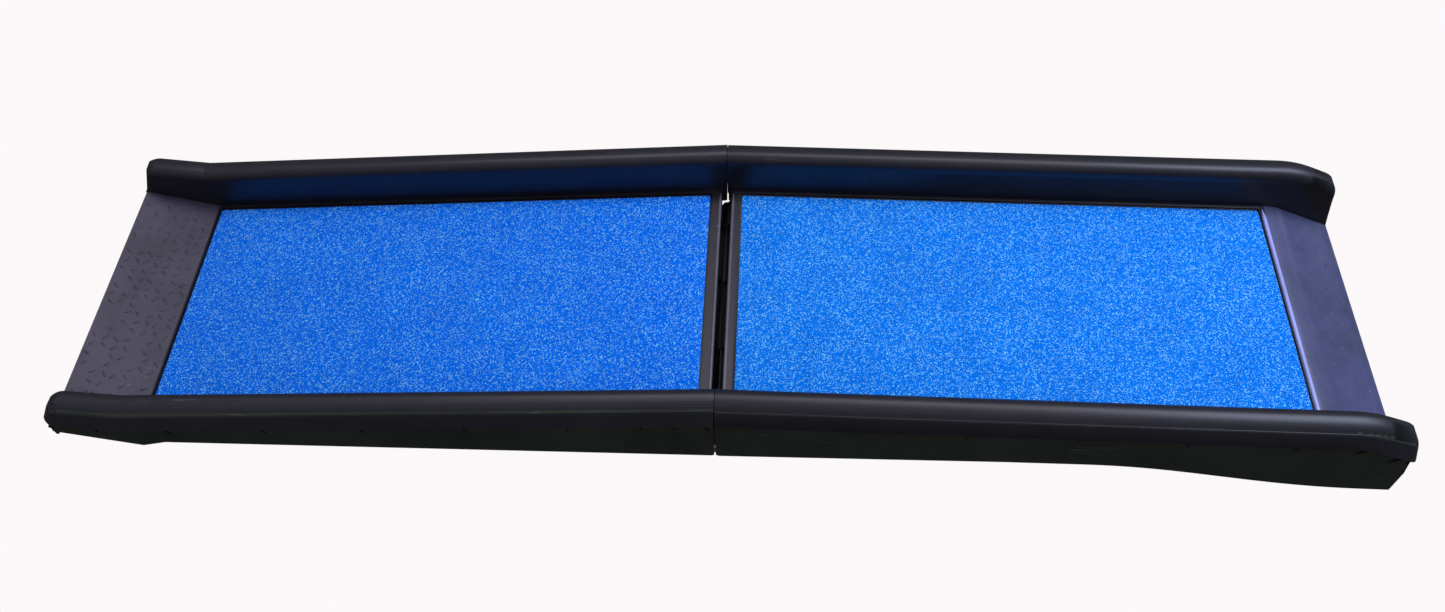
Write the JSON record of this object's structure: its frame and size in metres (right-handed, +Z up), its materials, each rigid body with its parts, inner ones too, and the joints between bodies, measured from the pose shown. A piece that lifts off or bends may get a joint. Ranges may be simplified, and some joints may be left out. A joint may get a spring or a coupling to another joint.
{
  "type": "dog ramp",
  "caption": "Folding walkway for a dog: hinged moulded halves with raised side rails, turf-covered decks, a ribbed end apron and rubber feet underneath.",
  "frame": {"origin": "on the floor, under the middle of the unfolded ramp", "axes": "+X along the ramp from the ground end to the vehicle end, +Y across it, +Z up from the floor"},
  "size_m": [1.5722, 0.4, 0.147],
  "materials": {
    "black_polypropylene": "satin moulded polypropylene, fine grain",
    "blue_turf": "short speckled turf with a granular surface",
    "tape": "double-sided carpet tape",
    "black_rubber": "matt grooved rubber",
    "zinc_steel": "bright zinc plate",
    "black_nylon": "moulded glass-filled nylon"
  },
  "bodies": {
    "lower_half": {"lower_shell": "black_polypropylene", "lower_mat": "blue_turf", "lower_mat_tape": "tape", "lower_foot_pad_near": "black_rubber", "lower_foot_pad_far": "black_rubber", "lower_foot_screws": "zinc_steel", "latch_stud": "zinc_steel", "lower_latch_nut": "zinc_steel"},
    "upper_half": {"upper_shell": "black_polypropylene", "upper_mat": "blue_turf", "upper_mat_tape": "tape", "upper_foot_pad_near": "black_rubber", "upper_foot_pad_far": "black_rubber", "upper_foot_screws": "zinc_steel", "hinge_rod": "zinc_steel", "rod_washers": "zinc_steel", "rod_push_nuts": "zinc_steel", "latch_pivot": "zinc_steel", "upper_latch_nut": "zinc_steel"},
    "hook": {"latch_hook": "black_nylon"}
  },
  "joints": [
    {"name": "fold_hinge", "type": "hinge", "parent": "lower_half", "child": "upper_half", "pos_m": [0.00025, 0, 0.027], "axis": [0, 1, 0], "range_deg": [0, 174.6]},
    {"name": "latch_pivot_hinge", "type": "hinge", "parent": "upper_half", "child": "hook", "pos_m": [0.60025, 0.1925, 0.055], "axis": [0, -1, 0], "range_deg": [0, 90]}
  ]
}
